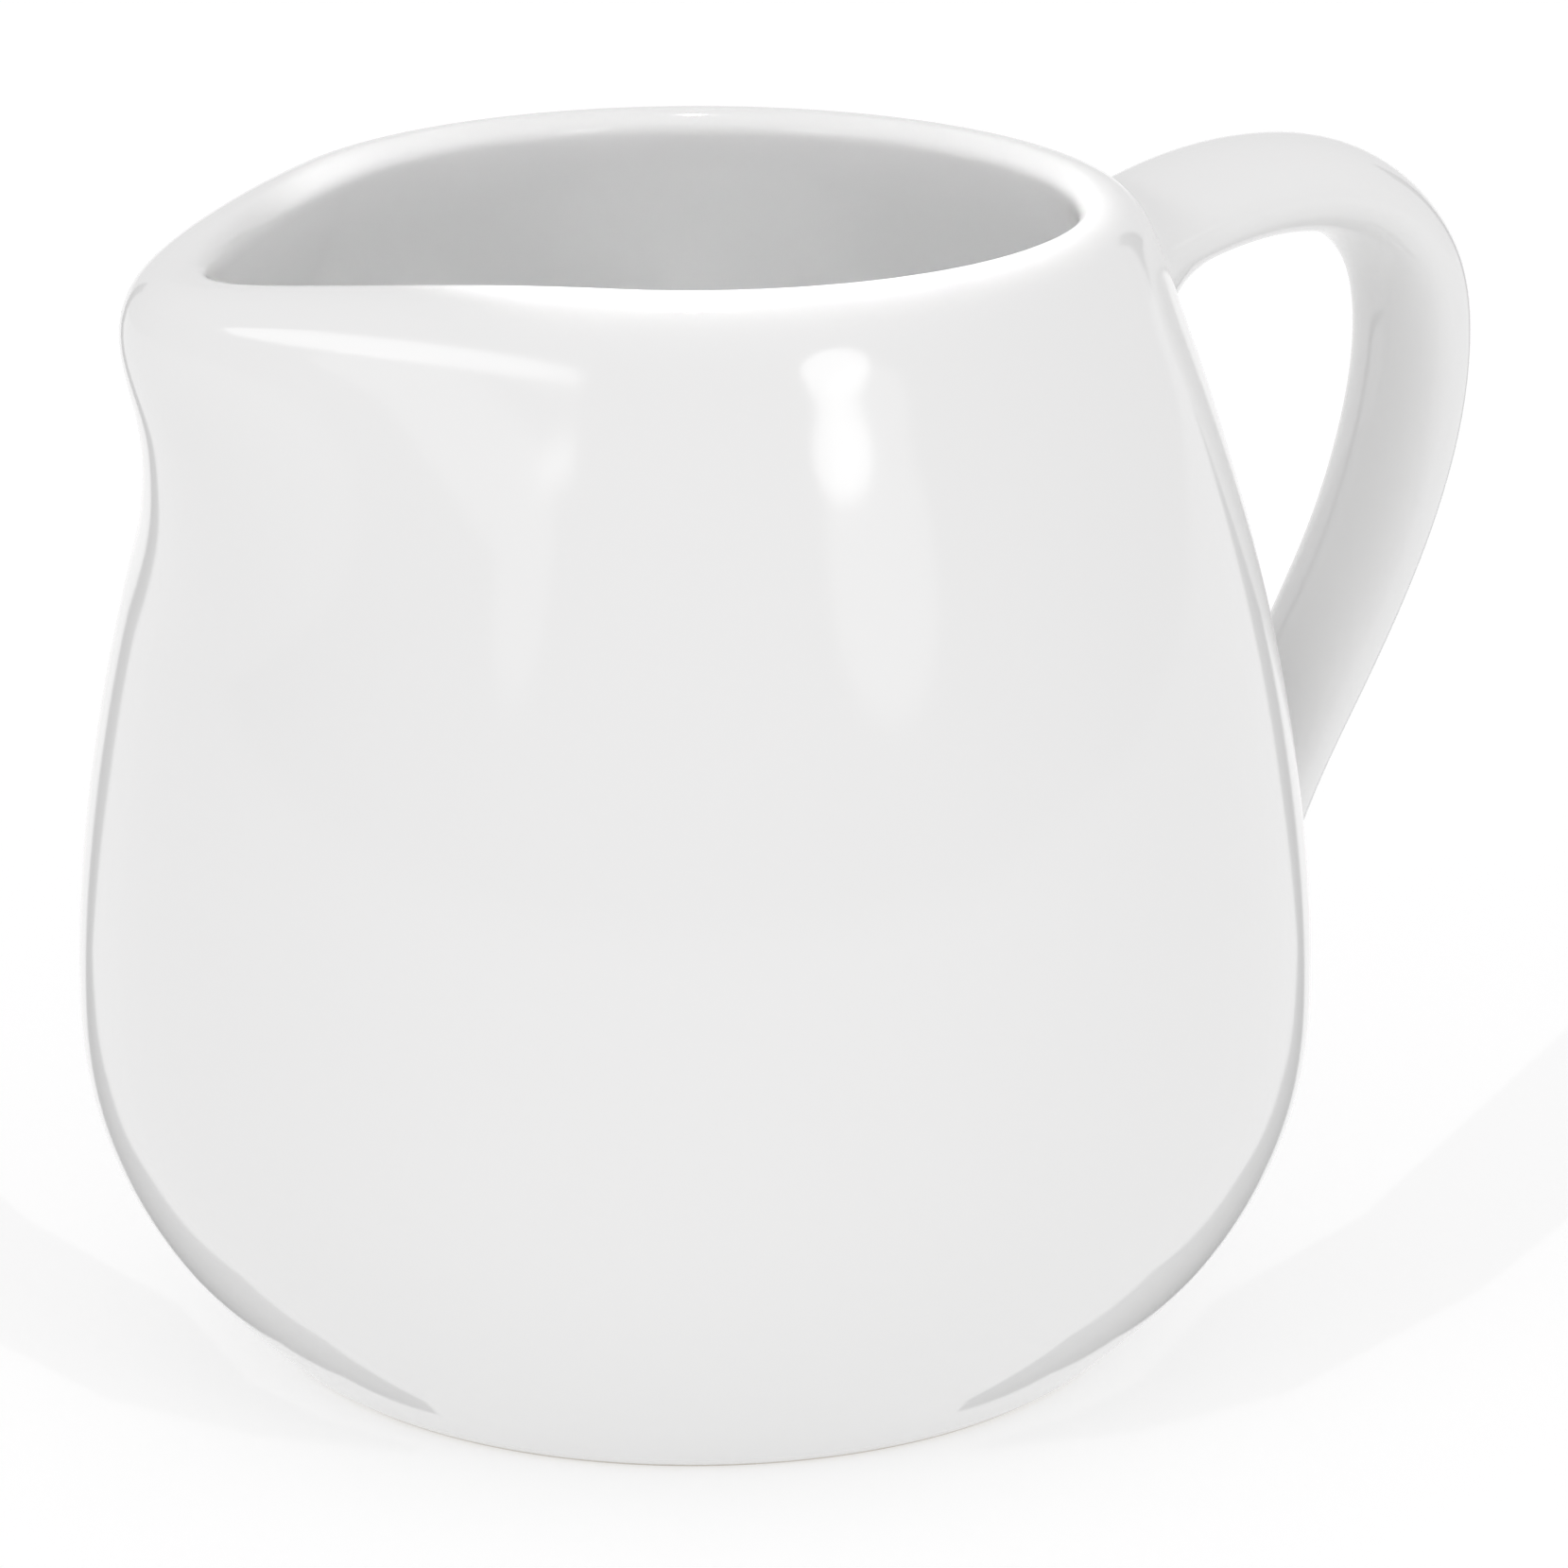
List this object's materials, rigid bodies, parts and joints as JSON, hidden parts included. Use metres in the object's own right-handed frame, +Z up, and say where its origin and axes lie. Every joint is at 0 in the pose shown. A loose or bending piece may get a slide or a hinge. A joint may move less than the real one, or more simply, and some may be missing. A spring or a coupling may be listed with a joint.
{
  "type": "ceramic pitcher",
  "caption": "Small round-bellied ceramic pitcher with a pulled spout, a rolled lip and a strap handle, for pouring milk or cream at the table.",
  "frame": {"origin": "centre of the plane that the foot ring stands on, on the axis of the round body", "axes": "+Z up, +X towards the handle, -X towards the spout, +Y to the left of the handle seen from the spout"},
  "size_m": [0.0969, 0.08, 0.0753],
  "materials": {
    "white_glaze": "glossy white glaze over white clay",
    "bare_biscuit": "unglazed fired clay, matt, wiped clean where it stands"
  },
  "bodies": {
    "root": {"body": "white_glaze", "handle": "white_glaze", "upper_slip_joint": "white_glaze", "lower_slip_joint": "white_glaze", "foot_ring": "bare_biscuit"}
  },
  "joints": []
}
